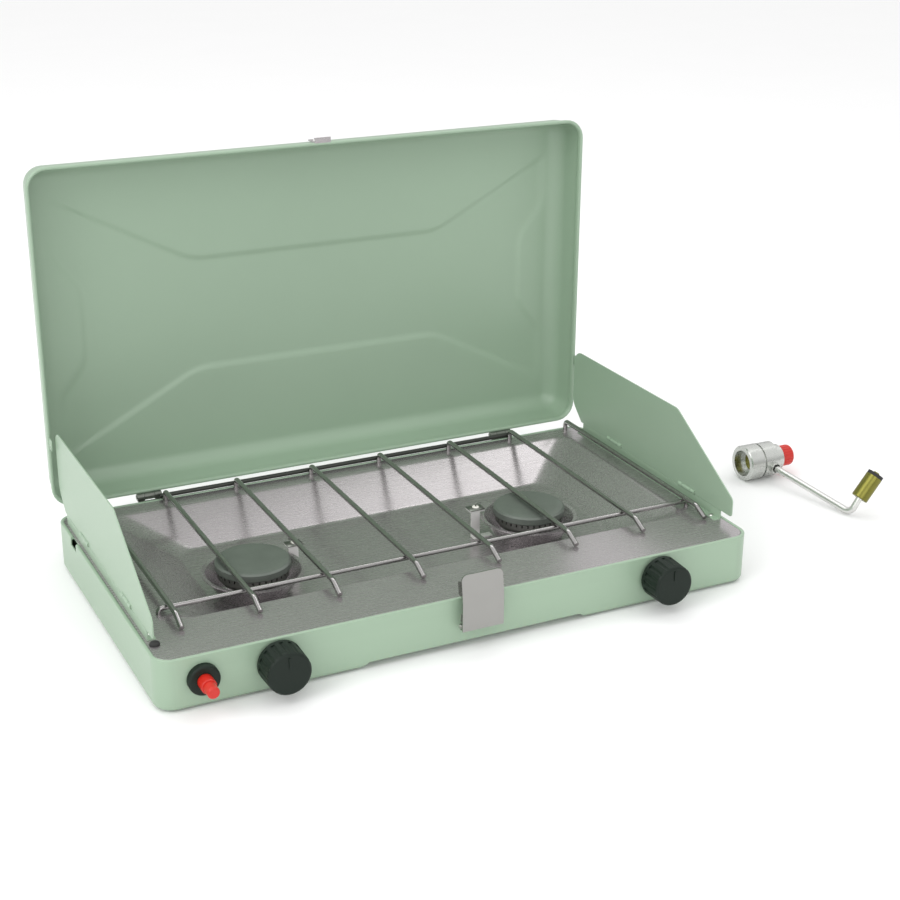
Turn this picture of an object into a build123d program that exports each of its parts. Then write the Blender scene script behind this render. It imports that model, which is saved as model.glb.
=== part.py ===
"""Two-burner propane camping stove, modelled open and ready to light, with its regulator beside it.

Millimetres. +X is the stove's right, +Y its back, +Z up. The origin is on the ground, under the
middle of the base. The lid stands open, the two side windscreens are up and the latch is upright.
"""
from build123d import *
import os
from math import radians, tan

os.makedirs("parts", exist_ok=True)

# ---- base pan and the drip tray that closes it ----
BASE_W = 520.0  # width of the base
BASE_D = 288.0  # depth of the base
RIM_Z = 44.0  # top of the base's rolled rim
PAN_Z = 1.5  # underside of the pan, held off the ground by its feet
SHEET = 1.0  # thickness of the painted steel
CORNER_R = 15.0  # vertical corners of the base
PAN_FOOT_R = 4.0  # rounding where the walls turn under
RIM_W = 3.0  # the wall's top edge is rolled to this width
RIM_R = 1.1  # rounding of the rolled edge
LEDGE_W = 9.0  # inward ledge that carries the tray
RAISE_H = 4.5  # the middle of the pan's floor is pressed up by this much
RAISE_IN = 93.0  # half width of the raised middle
RAISE_OUT = 100.0  # half width at the foot of its slopes
TRAY_T = 0.8  # stainless sheet of the drip tray
TRAY_TOP = 43.4  # top face of the tray
TRAY_GAP = 0.2  # play between the tray and the rolled rim
LEDGE_TOP = TRAY_TOP - TRAY_T
FRONT_Y = -BASE_D / 2
REAR_Y = BASE_D / 2
SIDE_X = BASE_W / 2
BUMPER_AT = (-251.6, -114.0)  # rubber stop under the closed lid
BUMPER_R = 4.0
BUMPER_H = 2.5
BUMPER_STEM_R = 2.0

# ---- drip basin ----
BASIN_X = 6.0  # centre of the basin across the stove
BASIN_TOP_W = 454.0
BASIN_TOP_D = 208.4
BASIN_TOP_Y = 21.0
BASIN_TOP_R = 14.0
BASIN_FLOOR = 18.0  # upper face of the basin's floor
BASIN_LOW_W = 363.0
BASIN_LOW_D = 145.0
BASIN_LOW_Y = 10.5
BASIN_LOW_R = 20.0
BASIN_SWEEP_R = 50.0  # the floor's front corners curve round the burners

# ---- burners ----
BURNER_X = {"left": -139.5, "right": 115.5}
BURNER_Y = -16.0
NECK_R = 16.0  # throat under the bowl
NECK_T = 2.0
BOWL_R = 42.0  # rim of the bowl
BOWL_Z = 38.5  # height of the bowl's rim
RING_R = 29.4  # ported ring
RING_LOW = 30.0
RING_TOP = 41.0
CAP_R = 31.0
CAP_TOP = 48.5
PORTS = 36
MIXER_Z = 10.6  # height of the mixing tubes' centre line
MIXER_R = 5.8
MIXER_START_Y = -104.0
MIXER_BEND = 18.0
ELECTRODE_AT = {"left": (-94.0, 9.0), "right": (76.0, 9.0)}
ELECTRODE_R = 3.1
ELECTRODE_TOP = 44.0
BRACKET_W = 8.5  # width of the upright strip
BRACKET_SHIFT = -3.0  # the strip stands this far to the side of its electrode
BRACKET_TOP = 42.0
BRACKET_FOOT = 10.0  # the foot reaches this much further toward the burner

# ---- gas valves, manifold and knobs ----
VALVE_X = 167.0
KNOB_Z = 26.0
STEM_R = 3.0
JET_OFFSET = -7.0
MANIFOLD_Y = -120.0
MANIFOLD_Z = 30.0
MANIFOLD_R = 4.0
KNOB_BACK = FRONT_Y - 2.8
KNOB_FRONT = FRONT_Y - 25.6
KNOB_R = 18.0
KNOB_FLUTES = 16
INLET_Y = -117.0
INLET_Z = 27.0
INLET_R = 11.0
INLET_BORE_R = 8.1
INLET_OUT = SIDE_X + 5.0
INLET_DEPTH = 16.0

# ---- igniter ----
IGNITER_X = -225.7
IGNITER_Z = 25.0
BUTTON_R = 6.0
BUTTON_STEP = FRONT_Y - 15.5  # the button's shoulder
BUTTON_TIP_R = 4.8
BUTTON_FRONT = FRONT_Y - 26.0
BUTTON_BACK = FRONT_Y + 9.0
SPRING_END = FRONT_Y + 32.0

# ---- cooking grate ----
WIRE_R = 2.2
WIRE_Z = 52.0  # centre line of the long wires
GRATE_X = 7.4
WIRE_OFFSETS = (34.0, 106.3, 172.0, 234.2)
FOOT_Y = -101.2
FRONT_BEND_Y = -87.2
REAR_LEG_Y = 139.4
CROSS_R = 2.0
CROSS_Y = -67.6
CROSS_LEFT = -234.5
CROSS_RIGHT = 245.2

# ---- lid, in its open place ----
LID_W = 517.5
LID_L = 295.4
LID_DEPTH = 37.0
LID_DRAFT = 4.0  # the walls lean in by this much over the depth
LID_CORNER_R = 17.0
LID_EDGE_R = 7.0
HINGE_Y = 154.3
HINGE_Z = 43.9
HINGE_X = (-175.0, 177.0)
HINGE_LEN = 22.0
HINGE_R = 3.2
HINGE_PIN_R = 1.5
RIM_PLANE_Y = HINGE_Y + 0.6
LID_LOW_Z = HINGE_Z + 3.4
LID_MID_Z = LID_LOW_Z + LID_L / 2
LID_TOP_Z = LID_LOW_Z + LID_L
EMBOSS = 1.5
TONGUE_Z = (103.0, 113.0)
TONGUE_REACH = 9.0

# ---- side windscreens ----
SCREEN_X = 254.4  # hinge line
SCREEN_Z = 53.2
SCREEN_TOP = 121.0
SCREEN_FRONT = -122.0
SCREEN_BEND = -32.0  # where the sloped front edge meets the top
SCREEN_REAR = 147.0
KNUCKLE_R = 2.0
SCREEN_PIN_R = 0.9
KNUCKLE_YS = (-54.0, 68.0)
RAIL_FRONT = -106.0
RAIL_REAR = 126.0
RAIL_TOP = SCREEN_Z - 1.35  # just clear of the windscreen's foot
RAIL_NOTCH = 51.0  # the rail is cut down to this height round the hinge barrels
RIVET_R = 1.6
RIVET_AT = [(x, y) for x in (-251.4, 251.4) for y in (-96.0, 8.0, 118.0)]

# ---- latch ----
LATCH_FACE_Y = FRONT_Y - 9.6
LATCH_W = 36.0
LATCH_LOW = 18.8
LATCH_CREASE = 44.0
LATCH_TOP = 66.3
LATCH_TILT = 8.0
LATCH_PIN_Y = FRONT_Y - 4.6
LATCH_PIN_Z = 21.4
LATCH_PIN_R = 1.6

# ---- regulator, lying on the ground at the right ----
REG_X = 386.0
REG_Y = 43.0
REG_R = 17.4
REG_BORE_R = 12.7  # 1 inch - 20 cylinder thread
REG_BORE_L = 10.0
REG_SEAT_R = 9.0  # pocket behind the thread, for the brass insert
REG_SEAT_L = 3.5
REG_TUBE_R = 3.2
REG_NUT_R = 8.0

RUN_FIT = 0.05  # radial play of pins and stems


def save(builder, name):
    """Label a finished piece and write it as its own STEP file."""
    builder.part.label = name
    export_step(builder.part, f"parts/{name}.step")


def side_sign(side):
    return -1 if side == "left" else 1


# ======================================================================================
# base
# ======================================================================================
def pan_form(inset):
    """The pan's solid shape, pulled in by the sheet thickness for its inside."""
    low = PAN_Z + inset
    with BuildPart() as form:
        with BuildSketch(Plane.XY.offset(low)):
            RectangleRounded(BASE_W - 2 * inset, BASE_D - 2 * inset, CORNER_R - inset)
        extrude(amount=RIM_Z - PAN_Z)
        fillet(form.edges().group_by(Axis.Z)[0], radius=PAN_FOOT_R - inset)
        with BuildSketch(Plane.XZ):
            with BuildLine():
                Polyline(
                    (-RAISE_OUT - 2, low - 2),
                    (-RAISE_OUT, low),
                    (-RAISE_IN, low + RAISE_H),
                    (RAISE_IN, low + RAISE_H),
                    (RAISE_OUT, low),
                    (RAISE_OUT + 2, low - 2),
                    close=True,
                )
            make_face()
        extrude(amount=BASE_D, both=True, mode=Mode.SUBTRACT)
    return form.part


with BuildPart() as base_pan:
    add(pan_form(0))
    add(pan_form(SHEET), mode=Mode.SUBTRACT)
    # rolled rim round the tray
    with BuildSketch(Plane.XY.offset(LEDGE_TOP - SHEET)):
        RectangleRounded(BASE_W, BASE_D, CORNER_R)
        RectangleRounded(
            BASE_W - 2 * RIM_W, BASE_D - 2 * RIM_W, CORNER_R - RIM_W, mode=Mode.SUBTRACT
        )
    extrude(amount=RIM_Z - LEDGE_TOP + SHEET)
    fillet(base_pan.edges().group_by(Axis.Z)[-1], radius=RIM_R)
    # inward ledge under the tray
    with BuildSketch(Plane.XY.offset(LEDGE_TOP - SHEET)):
        RectangleRounded(BASE_W - SHEET, BASE_D - SHEET, CORNER_R - SHEET / 2)
        RectangleRounded(
            BASE_W - 2 * LEDGE_W, BASE_D - 2 * LEDGE_W, CORNER_R - 6, mode=Mode.SUBTRACT
        )
    extrude(amount=SHEET)
    # holes for the valve noses and the igniter
    with BuildSketch(Plane.XZ.offset(-FRONT_Y + 1)):
        with Locations((-VALVE_X, KNOB_Z), (VALVE_X, KNOB_Z)):
            Circle(5.0)
        with Locations((IGNITER_X, IGNITER_Z)):
            Circle(7.9)
    extrude(amount=-4, mode=Mode.SUBTRACT)
    # gas inlet hole in the right wall
    with BuildSketch(Plane.YZ.offset(SIDE_X - 2)):
        with Locations((INLET_Y, INLET_Z)):
            Circle(9.1)
    extrude(amount=4, mode=Mode.SUBTRACT)
    # slots that the lid's side tongues drop into, with a notch through the wall beside each
    for sign in (-1, 1):
        with BuildSketch(Plane.XY.offset(33.5)):
            with Locations((sign * 258.0, 90.0)):
                Rectangle(2.2, 14.0)
        extrude(amount=12, mode=Mode.SUBTRACT)
        with BuildSketch(Plane.YZ.offset(sign * SIDE_X)):
            with Locations((88.8, 41.0)):
                Rectangle(16.5, 8.0)
        extrude(amount=RIM_W, both=True, mode=Mode.SUBTRACT)
    # holes for the feet
    with BuildSketch(Plane.XY.offset(PAN_Z - 1)):
        with GridLocations(440, 216, 2, 2):
            Circle(3.0)
    extrude(amount=4, mode=Mode.SUBTRACT)
    # rivet and bumper holes through the ledge
    with BuildSketch(Plane.XY.offset(LEDGE_TOP - 2)):
        with Locations(RIVET_AT):
            Circle(RIVET_R)
        with Locations(BUMPER_AT):
            Circle(BUMPER_STEM_R + 0.6)
    extrude(amount=4, mode=Mode.SUBTRACT)
save(base_pan, "base_pan")

with BuildPart() as feet:
    with BuildSketch(Plane.XY):
        with GridLocations(440, 216, 2, 2):
            Circle(8.0)
    extrude(amount=PAN_Z)
    with BuildSketch(Plane.XY.offset(PAN_Z)):
        with GridLocations(440, 216, 2, 2):
            Circle(3.0)
    extrude(amount=SHEET + 0.1)
    with BuildSketch(Plane.XY.offset(PAN_Z + SHEET)):
        with GridLocations(440, 216, 2, 2):
            Circle(4.5)
    extrude(amount=2.0)
save(feet, "feet")


def basin_outline(width, depth, middle_y, front_r, rear_r):
    """Closed rectangle on the basin's centre line, with its own radii at front and rear."""
    left = BASIN_X - width / 2
    right = BASIN_X + width / 2
    front = middle_y - depth / 2
    rear = middle_y + depth / 2
    FilletPolyline(
        (left, front),
        (right, front),
        (right, rear),
        (left, rear),
        radius=(front_r, front_r, rear_r, rear_r),
        close=True,
    )


def basin_form(drop, grow):
    """The sloped basin, as a solid that is grown and lowered for the sheet's underside."""
    top_r = BASIN_TOP_R + grow
    with BuildPart() as form:
        with BuildSketch(Plane.XY.offset(TRAY_TOP - drop)):
            with BuildLine():
                basin_outline(
                    BASIN_TOP_W + 2 * grow, BASIN_TOP_D + 2 * grow, BASIN_TOP_Y, top_r, top_r
                )
            make_face()
        with BuildSketch(Plane.XY.offset(BASIN_FLOOR - drop)):
            with BuildLine():
                basin_outline(
                    BASIN_LOW_W + 2 * grow,
                    BASIN_LOW_D + 2 * grow,
                    BASIN_LOW_Y,
                    BASIN_SWEEP_R + grow,
                    BASIN_LOW_R + grow,
                )
            make_face()
        loft()
    return form.part


with BuildPart() as drip_tray:
    with BuildSketch(Plane.XY.offset(LEDGE_TOP)):
        RectangleRounded(
            BASE_W - 2 * (RIM_W + TRAY_GAP),
            BASE_D - 2 * (RIM_W + TRAY_GAP),
            CORNER_R - RIM_W - TRAY_GAP,
        )
    extrude(amount=TRAY_T)
    add(basin_form(TRAY_T, 0.6))
    add(basin_form(0, 0), mode=Mode.SUBTRACT)
    with BuildSketch(Plane.XY.offset(BASIN_FLOOR - 3)):
        with Locations([(BURNER_X[s], BURNER_Y) for s in ("left", "right")]):
            Circle(NECK_R + 0.4)
        with Locations([ELECTRODE_AT[s] for s in ("left", "right")]):
            Circle(ELECTRODE_R + 0.3)
    extrude(amount=6, mode=Mode.SUBTRACT)
    with BuildSketch(Plane.XY.offset(LEDGE_TOP - 1)):
        with Locations(RIVET_AT):
            Circle(RIVET_R)
        with Locations(BUMPER_AT):
            Circle(BUMPER_STEM_R)
    extrude(amount=4, mode=Mode.SUBTRACT)
save(drip_tray, "drip_tray")

with BuildPart() as lid_bumper:
    with BuildSketch(Plane.XY.offset(TRAY_TOP)):
        with Locations(BUMPER_AT):
            Circle(BUMPER_R)
    extrude(amount=BUMPER_H)
    fillet(lid_bumper.edges().group_by(Axis.Z)[-1], radius=BUMPER_H - 0.7)
    with BuildSketch(Plane.XY.offset(LEDGE_TOP - 0.9)):
        with Locations(BUMPER_AT):
            Circle(BUMPER_STEM_R)
    extrude(amount=TRAY_T + 1.0)
save(lid_bumper, "lid_bumper")


# ======================================================================================
# cooking grate
# ======================================================================================
def long_wire(x):
    """One front-to-back wire: a sloped front leg, a straight top and an upright rear leg."""
    with BuildPart() as wire:
        with BuildLine(Plane.YZ.offset(x)) as route:
            FilletPolyline(
                (FOOT_Y, 45.5),
                (FRONT_BEND_Y, WIRE_Z),
                (REAR_LEG_Y, WIRE_Z),
                (REAR_LEG_Y, TRAY_TOP + 0.05),
                radius=(9.0, 4.5),
            )
        with BuildSketch(Plane(origin=route.line @ 0, z_dir=route.line % 0)):
            Circle(WIRE_R)
        sweep()
    return wire.part


with BuildPart() as grate_long_wires:
    for offset_x in WIRE_OFFSETS:
        add(long_wire(GRATE_X - offset_x))
        add(long_wire(GRATE_X + offset_x))
save(grate_long_wires, "grate_long_wires")

CROSS_Z = WIRE_Z - WIRE_R - CROSS_R
with BuildPart() as grate_front_wire:
    with BuildLine(Plane.XZ.offset(-CROSS_Y)) as front_route:
        FilletPolyline(
            (CROSS_LEFT, TRAY_TOP + 0.05),
            (CROSS_LEFT, CROSS_Z),
            (CROSS_RIGHT, CROSS_Z),
            (CROSS_RIGHT, TRAY_TOP + 0.05),
            radius=3.6,
        )
    with BuildSketch(Plane(origin=front_route.line @ 0, z_dir=front_route.line % 0)):
        Circle(CROSS_R)
    sweep()
save(grate_front_wire, "grate_front_wire")

with BuildPart() as grate_rear_wire:
    rear_half = WIRE_OFFSETS[2] + 4
    with BuildSketch(Plane.YZ.offset(GRATE_X - rear_half)):
        with Locations((REAR_LEG_Y + WIRE_R + CROSS_R, RIM_Z + 0.3 + CROSS_R)):
            Circle(CROSS_R)
    extrude(amount=2 * rear_half)
save(grate_rear_wire, "grate_rear_wire")


# ======================================================================================
# burners
# ======================================================================================
def burner_bowl(x):
    """Spun steel bowl with the gas throat through its middle."""
    with BuildPart() as bowl:
        with BuildSketch(Plane.XZ.offset(-BURNER_Y)):
            with BuildLine():
                Polyline(
                    (x, 3.4),
                    (x + NECK_R, 3.4),
                    (x + NECK_R, BASIN_FLOOR + 0.05),
                    (x + 28.0, BASIN_FLOOR + 0.05),
                    (x + BOWL_R - 2.0, BOWL_Z - 1.6),
                    (x + BOWL_R, BOWL_Z - 1.2),
                    (x + BOWL_R, BOWL_Z),
                    (x + BOWL_R - 3.0, BOWL_Z - 0.4),
                    (x + 27.2, BASIN_FLOOR + 1.6),
                    (x + NECK_R, BASIN_FLOOR + 1.6),
                    (x + NECK_R, RING_LOW),
                    (x + NECK_R - NECK_T, RING_LOW),
                    (x + NECK_R - NECK_T, 4.9),
                    (x, 4.9),
                    close=True,
                )
            make_face()
        revolve(axis=Axis((x, BURNER_Y, 0), (0, 0, 1)))
        with BuildSketch(Plane.YZ.offset(x)):
            with Locations((BURNER_Y, MIXER_Z)):
                Circle(MIXER_R + 0.05)
        extrude(amount=30 * (-1 if x < 0 else 1), mode=Mode.SUBTRACT)
    return bowl


def burner_ring(x):
    """Cast ring with radial flame ports under the cap."""
    with BuildPart() as ring:
        with BuildSketch(Plane.XZ.offset(-BURNER_Y)):
            with BuildLine():
                Polyline(
                    (x + NECK_R - NECK_T, RING_LOW),
                    (x + RING_R - 4, RING_LOW),
                    (x + RING_R, RING_LOW + 5),
                    (x + RING_R, RING_TOP),
                    (x + RING_R - 3, RING_TOP),
                    (x + RING_R - 3, RING_LOW + 2),
                    (x + NECK_R - NECK_T, RING_LOW + 2),
                    close=True,
                )
            make_face()
        revolve(axis=Axis((x, BURNER_Y, 0), (0, 0, 1)))
        with BuildSketch(Plane.XY.offset(RING_TOP - 3)):
            with Locations((x, BURNER_Y)):
                with PolarLocations(RING_R - 1.5, PORTS):
                    Rectangle(6.0, 1.3)
        extrude(amount=3, mode=Mode.SUBTRACT)
    return ring


def burner_cap(x):
    """Thick enamelled cap, with a skirt that centres it in the ring."""
    with BuildPart() as cap:
        with BuildSketch(Plane.XZ.offset(-BURNER_Y)):
            with BuildLine():
                Polyline(
                    (x, RING_TOP),
                    (x + RING_R - 6.4, RING_TOP),
                    (x + RING_R - 6.4, RING_TOP - 3.5),
                    (x + RING_R - 3.4, RING_TOP - 3.5),
                    (x + RING_R - 3.4, RING_TOP),
                    (x + CAP_R - 0.8, RING_TOP),
                    (x + CAP_R, RING_TOP + 0.8),
                    (x + CAP_R, CAP_TOP - 1.8),
                    (x + CAP_R - 1.6, CAP_TOP - 0.4),
                    (x + CAP_R - 6, CAP_TOP),
                    (x, CAP_TOP),
                    close=True,
                )
            make_face()
        revolve(axis=Axis((x, BURNER_Y, 0), (0, 0, 1)))
    return cap


def mixer_tube(x, jet_x):
    """Elbow tube that carries gas and air from the jet into the burner's throat."""
    toward = -1 if x < 0 else 1
    end_x = x + toward * (NECK_R - NECK_T + 0.3)
    with BuildPart() as tube:
        with BuildLine(Plane.XY.offset(MIXER_Z)) as route:
            FilletPolyline(
                (jet_x, MIXER_START_Y),
                (jet_x, BURNER_Y),
                (end_x, BURNER_Y),
                radius=MIXER_BEND,
            )
        with BuildSketch(Plane(origin=route.line @ 0, z_dir=route.line % 0)):
            Circle(MIXER_R)
            Circle(MIXER_R - 1, mode=Mode.SUBTRACT)
        sweep()
        # bell mouth around the jet
        with BuildSketch(Plane.XY.offset(MIXER_Z)):
            with BuildLine():
                Polyline(
                    (jet_x + MIXER_R - 1, MIXER_START_Y),
                    (jet_x + MIXER_R, MIXER_START_Y),
                    (jet_x + 7.6, MIXER_START_Y - 6),
                    (jet_x + 6.6, MIXER_START_Y - 6),
                    close=True,
                )
            make_face()
        revolve(axis=Axis((jet_x, MIXER_START_Y, MIXER_Z), (0, 1, 0)))
    return tube


def electrode_bracket(x, y, toward):
    """Stainless strip beside a burner: a foot on the tray, an upright and a tab for the electrode."""
    strip_x = x + BRACKET_SHIFT
    upright_y = y - ELECTRODE_R - 2.9
    tab_depth = 2 * ELECTRODE_R + 4.3
    with BuildPart() as bracket:
        with BuildSketch(Plane.XY.offset(BASIN_FLOOR + 0.05)):
            with Locations((strip_x, upright_y + 0.5)):
                Rectangle(BRACKET_W, 1.0)
        extrude(amount=BRACKET_TOP - BASIN_FLOOR - 0.05)
        with BuildSketch(Plane.XY.offset(BRACKET_TOP - 1.2)):
            with Locations((x - 0.8, upright_y + tab_depth / 2)):
                Rectangle(BRACKET_W + 5.0, tab_depth)
            with Locations((x, y)):
                Circle(ELECTRODE_R + 0.05, mode=Mode.SUBTRACT)
        extrude(amount=1.2)
        with BuildSketch(Plane.XY.offset(BASIN_FLOOR + 0.05)):
            with Locations((strip_x + toward * BRACKET_FOOT / 2, upright_y - 2.5)):
                Rectangle(BRACKET_W + BRACKET_FOOT, 7.0)
        extrude(amount=1.0)
    return bracket


for side in ("left", "right"):
    bx = BURNER_X[side]
    jx = side_sign(side) * VALVE_X + JET_OFFSET
    save(burner_bowl(bx), f"burner_bowl_{side}")
    save(burner_ring(bx), f"burner_ring_{side}")
    save(burner_cap(bx), f"burner_cap_{side}")
    save(mixer_tube(bx, jx), f"mixer_tube_{side}")

with BuildPart() as electrode_brackets:
    for side in ("left", "right"):
        add(electrode_bracket(*ELECTRODE_AT[side], side_sign(side)).part)
save(electrode_brackets, "electrode_brackets")

with BuildPart() as electrode_ceramics:
    with BuildSketch(Plane.XY.offset(13)):
        with Locations([ELECTRODE_AT[s] for s in ("left", "right")]):
            Circle(ELECTRODE_R)
    extrude(amount=ELECTRODE_TOP - 13)
    fillet(electrode_ceramics.edges().group_by(Axis.Z)[-1], radius=0.8)
save(electrode_ceramics, "electrode_ceramics")


def electrode_pin(x, y, toward_x):
    """Spark wire that rises out of the ceramic and leans toward the burner ring."""
    with BuildPart() as pin:
        with BuildLine(Plane.XZ.offset(-y)) as route:
            FilletPolyline(
                (x, ELECTRODE_TOP),
                (x, ELECTRODE_TOP + 2.4),
                (x + toward_x, ELECTRODE_TOP + 3.2),
                radius=1.2,
            )
        with BuildSketch(Plane(origin=route.line @ 0, z_dir=route.line % 0)):
            Circle(0.7)
        sweep()
    return pin.part


with BuildPart() as electrode_pins:
    add(electrode_pin(*ELECTRODE_AT["left"], -5.0))
    add(electrode_pin(*ELECTRODE_AT["right"], 5.0))
save(electrode_pins, "electrode_pins")


# ======================================================================================
# gas path: inlet, manifold, valves, jets
# ======================================================================================
with BuildPart() as gas_inlet:
    with BuildSketch(Plane.YZ.offset(SIDE_X - SHEET - 22)):
        with Locations((INLET_Y, INLET_Z)):
            Circle(9.0)
    extrude(amount=22 + SHEET + 5)
    with BuildSketch(Plane.YZ.offset(SIDE_X)):
        with Locations((INLET_Y, INLET_Z)):
            Circle(INLET_R)
    extrude(amount=INLET_OUT - SIDE_X)
    chamfer(gas_inlet.edges().group_by(Axis.X)[-1], length=0.6)
    with BuildSketch(Plane.YZ.offset(INLET_OUT - INLET_DEPTH)):
        with Locations((INLET_Y, INLET_Z)):
            Circle(INLET_BORE_R)
    extrude(amount=INLET_DEPTH + 1, mode=Mode.SUBTRACT)
    with BuildSketch(Plane.YZ.offset(SIDE_X - SHEET - 22)):
        with Locations((MANIFOLD_Y, MANIFOLD_Z)):
            Circle(MANIFOLD_R)
    extrude(amount=5, mode=Mode.SUBTRACT)
    with BuildSketch(Plane.YZ.offset(SIDE_X - SHEET - 20)):
        with Locations((INLET_Y, INLET_Z)):
            Circle(1.5)
    extrude(amount=18, mode=Mode.SUBTRACT)
save(gas_inlet, "gas_inlet")

with BuildPart() as inlet_nut:
    with BuildSketch(Plane.YZ.offset(SIDE_X - SHEET - 4)):
        with Locations((INLET_Y, INLET_Z)):
            RegularPolygon(12.4, 6)
            Circle(9.0, mode=Mode.SUBTRACT)
    extrude(amount=4)
save(inlet_nut, "inlet_nut")

with BuildPart() as manifold_pipe:
    with BuildSketch(Plane.YZ.offset(-VALVE_X - 13)):
        with Locations((MANIFOLD_Y, MANIFOLD_Z)):
            Circle(MANIFOLD_R)
            Circle(MANIFOLD_R - 1, mode=Mode.SUBTRACT)
    extrude(amount=2 * VALVE_X + 13 + (SIDE_X - SHEET - 22 + 5 - VALVE_X) - VALVE_X)
    with BuildSketch(Plane.YZ.offset(-VALVE_X - 13)):
        with Locations((MANIFOLD_Y, MANIFOLD_Z)):
            Circle(MANIFOLD_R)
    extrude(amount=2)
save(manifold_pipe, "manifold_pipe")


def valve(x):
    """Brass valve block, clamped round the manifold, with its nose through the front wall."""
    jet_x = x + JET_OFFSET
    with BuildPart() as block:
        with BuildSketch(Plane.XY.offset(5)):
            with Locations((x, (-141.5 - 113) / 2)):
                RectangleRounded(20, 28.5, 2)
        extrude(amount=32)
        with BuildSketch(Plane.XZ.offset(141.5)):
            with Locations((x, KNOB_Z)):
                Circle(7.0)
        extrude(amount=-FRONT_Y - SHEET - 141.5)
        with BuildSketch(Plane.XZ.offset(141.5)):
            with Locations((x, KNOB_Z)):
                Circle(4.9)
        extrude(amount=-FRONT_Y + 2.2 - 141.5)
        with BuildSketch(Plane.XZ.offset(129)):
            with Locations((x, KNOB_Z)):
                Circle(STEM_R + RUN_FIT)
        extrude(amount=30, mode=Mode.SUBTRACT)
        with BuildSketch(Plane.YZ.offset(x - 11)):
            with Locations((MANIFOLD_Y, MANIFOLD_Z)):
                Circle(MANIFOLD_R)
        extrude(amount=22, mode=Mode.SUBTRACT)
        with BuildSketch(Plane.XZ.offset(112)):
            with Locations((jet_x, MIXER_Z)):
                Circle(2.5)
        extrude(amount=5, mode=Mode.SUBTRACT)
    return block


def jet(x):
    """Brass jet: a threaded shank in the valve and a small tapered nose in the bell mouth."""
    with BuildPart() as nozzle:
        with BuildSketch(Plane.XZ.offset(117)):
            with Locations((x, MIXER_Z)):
                Circle(2.5)
        extrude(amount=-4)
        with BuildSketch(Plane.XZ.offset(113)):
            with Locations((x, MIXER_Z)):
                RegularPolygon(3.6, 6)
        extrude(amount=-3)
        with BuildSketch(Plane.XZ.offset(110)):
            with Locations((x, MIXER_Z)):
                Circle(2.2)
        extrude(amount=-4, taper=12)
    return nozzle.part


with BuildPart() as jets:
    add(jet(-VALVE_X + JET_OFFSET))
    add(jet(VALVE_X + JET_OFFSET))
save(jets, "jets")

with BuildPart() as valve_nuts:
    with BuildSketch(Plane.XZ.offset(-FRONT_Y)):
        with Locations((-VALVE_X, KNOB_Z), (VALVE_X, KNOB_Z)):
            RegularPolygon(7.5, 6)
            Circle(4.9, mode=Mode.SUBTRACT)
    extrude(amount=2.0)
save(valve_nuts, "valve_nuts")


def stem(x):
    """Valve stem with a flat on its front end for the knob."""
    with BuildPart() as spindle:
        with BuildSketch(Plane.XZ.offset(130)):
            with Locations((x, KNOB_Z)):
                Circle(STEM_R)
        extrude(amount=-KNOB_BACK - 130)
        with BuildSketch(Plane.XZ.offset(-KNOB_BACK)):
            with Locations((x, KNOB_Z)):
                Circle(STEM_R)
                with Locations((0, STEM_R)):
                    Rectangle(2 * STEM_R + 1, 2.0, mode=Mode.SUBTRACT)
        extrude(amount=12)
    return spindle


def knob(x):
    """Fluted control knob, gripping the flat of the stem."""
    with BuildPart() as grip:
        with BuildSketch(Plane.XZ.offset(-KNOB_BACK)):
            with Locations((x, KNOB_Z)):
                Circle(KNOB_R)
        extrude(amount=KNOB_BACK - KNOB_FRONT, taper=1.5)
        fillet(grip.edges().group_by(Axis.Y)[0], radius=2.6)
        chamfer(grip.edges().group_by(Axis.Y)[-1], length=0.8)
        with BuildSketch(Plane.XZ.offset(-KNOB_BACK + 4)):
            with Locations((x, KNOB_Z)):
                with PolarLocations(KNOB_R + 1.6, KNOB_FLUTES):
                    Circle(2.6)
        extrude(amount=30, mode=Mode.SUBTRACT)
        with BuildSketch(Plane.XZ.offset(-KNOB_BACK)):
            with Locations((x, KNOB_Z)):
                Circle(STEM_R)
                with Locations((0, STEM_R)):
                    Rectangle(2 * STEM_R + 1, 2.0, mode=Mode.SUBTRACT)
        extrude(amount=12, mode=Mode.SUBTRACT)
        # raised pointer on the face
        with BuildSketch(Plane.XZ.offset(-KNOB_FRONT - 0.2)):
            with Locations((x, KNOB_Z + 9.5)):
                SlotCenterToCenter(7, 1.8, rotation=90)
        extrude(amount=0.9)
    return grip


for side in ("left", "right"):
    vx = side_sign(side) * VALVE_X
    save(valve(vx), f"valve_{side}")
    save(stem(vx), f"valve_stem_{side}")
    save(knob(vx), f"knob_{side}")


# ======================================================================================
# igniter
# ======================================================================================
with BuildPart() as igniter_body:
    with BuildSketch(Plane.XZ.offset(-SPRING_END - 12 + 10)):
        with Locations((IGNITER_X, IGNITER_Z)):
            Circle(9.5)
    extrude(amount=-FRONT_Y - SHEET + SPRING_END + 2)
    with BuildSketch(Plane.XZ.offset(-FRONT_Y - SHEET)):
        with Locations((IGNITER_X, IGNITER_Z)):
            Circle(7.8)
    extrude(amount=SHEET + 5.4)
    with BuildSketch(Plane.XZ.offset(-SPRING_END)):
        with Locations((IGNITER_X, IGNITER_Z)):
            Circle(BUTTON_R + RUN_FIT)
    extrude(amount=60, mode=Mode.SUBTRACT)
save(igniter_body, "igniter_body")

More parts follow.
